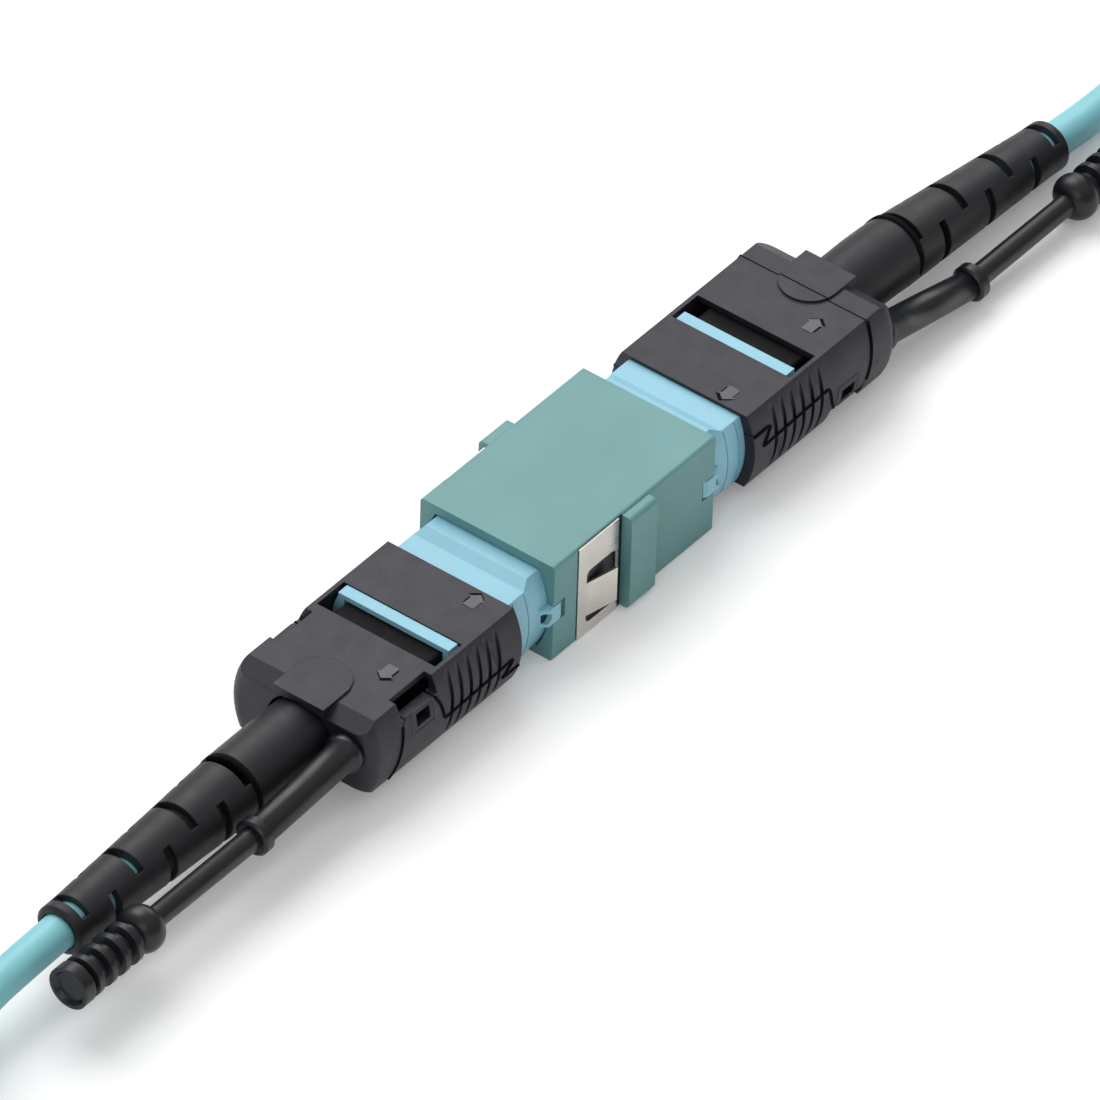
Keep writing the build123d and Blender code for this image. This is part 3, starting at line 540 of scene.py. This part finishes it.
def cables():
    """The free cable of each plug, from its boot through the hank to the far plug."""
    for letter, side in PLUGS.items():
        lead = [tuple(size * MM for size in point) for point in LEADS[letter]]
        tail = [tuple(size * MM for size in point) for point in TAIL]
        stored = [(x + HANK_SIDE, y + HANK_PLACE[letter], z) for x, y, z in hank_points() + tail]
        points = [(side * x, side * y, z) for x, y, z in lead + stored]
        piece = round_bar(f"cable_{letter}", points, CABLE, MATERIALS["cable_jacket"], round_steps=6,
                          span_steps=6)
        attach(piece, f"plug_{letter}")
        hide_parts(*[f"cable_{part}_{letter}" for part in ("lead", "hank", "tail")])


def camera():
    """Camera that sees the coupler where the photograph has it."""
    azimuth = radians(CAMERA_AZIMUTH)
    elevation = radians(CAMERA_ELEVATION)
    roll = radians(CAMERA_ROLL)
    across = Vector((cos(azimuth), sin(azimuth), 0))
    forward = Vector((-sin(azimuth) * cos(elevation), cos(azimuth) * cos(elevation), -sin(elevation)))
    upward = across.cross(forward)
    right = cos(roll) * across + sin(roll) * upward
    top = cos(roll) * upward - sin(roll) * across
    centre = PHOTO_SIZE / 2
    shift_right = (TARGET_PIXEL[0] - centre) / PIXELS_PER_MM * MM
    shift_up = (centre - TARGET_PIXEL[1]) / PIXELS_PER_MM * MM
    aim = Vector((0, 0, AXIS_Z)) - shift_right * right - shift_up * top
    data = bpy.data.cameras.new("camera")
    data.sensor_width = SENSOR
    data.lens = SENSOR * CAMERA_DISTANCE / (PHOTO_SIZE / PIXELS_PER_MM * MM)
    data.clip_end = CAMERA_REACH
    obj = placed("camera", data)
    axes = Matrix((right, top, -forward)).transposed()
    obj.matrix_world = Matrix.Translation(aim - CAMERA_DISTANCE * forward) @ axes.to_4x4()
    bpy.context.scene.camera = obj


def floor_paper():
    """White paper that glows a little to the camera and in reflections, but lights nothing."""
    made, nodes, link, shader = new_material("floor_paper")
    path = nodes.new("ShaderNodeLightPath")
    seen = nodes.new("ShaderNodeMath")
    seen.operation = "MAXIMUM"
    link(path.outputs["Is Camera Ray"], seen.inputs[0])
    link(path.outputs["Is Glossy Ray"], seen.inputs[1])
    glow = nodes.new("ShaderNodeMath")
    glow.operation = "MULTIPLY"
    glow.inputs[1].default_value = FLOOR_GLOW
    link(seen.outputs[0], glow.inputs[0])
    shader.inputs["Base Color"].default_value = (FLOOR_GREY, FLOOR_GREY, FLOOR_GREY, 1)
    shader.inputs["Roughness"].default_value = FLOOR_ROUGH
    shader.inputs["Specular IOR Level"].default_value = FLOOR_SHINE
    shader.inputs["Emission Color"].default_value = (1, 1, 1, 1)
    link(glow.outputs[0], shader.inputs["Emission Strength"])
    return made


def floor():
    """Large flat floor under the object."""
    corners = [(-FLOOR_REACH, -FLOOR_REACH, 0), (FLOOR_REACH, -FLOOR_REACH, 0),
               (FLOOR_REACH, FLOOR_REACH, 0), (-FLOOR_REACH, FLOOR_REACH, 0)]
    mesh_piece("floor", corners, [(0, 1, 2, 3)], floor_paper())


def surround():
    """White surround, dim at the level of the object and brighter towards the top and the bottom."""
    world = bpy.data.worlds.new("surround")
    bpy.context.scene.world = world
    world.use_nodes = True
    nodes = world.node_tree.nodes
    link = world.node_tree.links.new
    split = nodes.new("ShaderNodeSeparateXYZ")
    link(nodes.new("ShaderNodeTexCoord").outputs["Generated"], split.inputs["Vector"])
    slope = nodes.new("ShaderNodeMath")
    slope.operation = "ABSOLUTE"
    link(split.outputs["Z"], slope.inputs[0])
    strength = nodes.new("ShaderNodeMapRange")
    strength.inputs["To Min"].default_value = SURROUND_SIDE
    strength.inputs["To Max"].default_value = SURROUND_TOP
    link(slope.outputs[0], strength.inputs["Value"])
    nodes["Background"].inputs["Color"].default_value = (1, 1, 1, 1)
    link(strength.outputs["Result"], nodes["Background"].inputs["Strength"])


def lamps():
    """Soft rectangular lamps, each turned to the coupler."""
    for name, (place, size, power) in LAMPS.items():
        data = bpy.data.lights.new(name, "AREA")
        data.shape = "RECTANGLE"
        data.size, data.size_y = size
        data.energy = power
        lamp = placed(name, data)
        lamp.location = place
        lamp.rotation_euler = (-Vector(place)).to_track_quat("-Z", "Y").to_euler()


camera()
cables()
dress_nodes()
arrows()
clip_painted_shades()
plug_lines()
eyelet_painted_shades()
rod_roots()
boot_groove_shades()
floor()
surround()
lamps()
bpy.context.scene.view_settings.view_transform = "Standard"
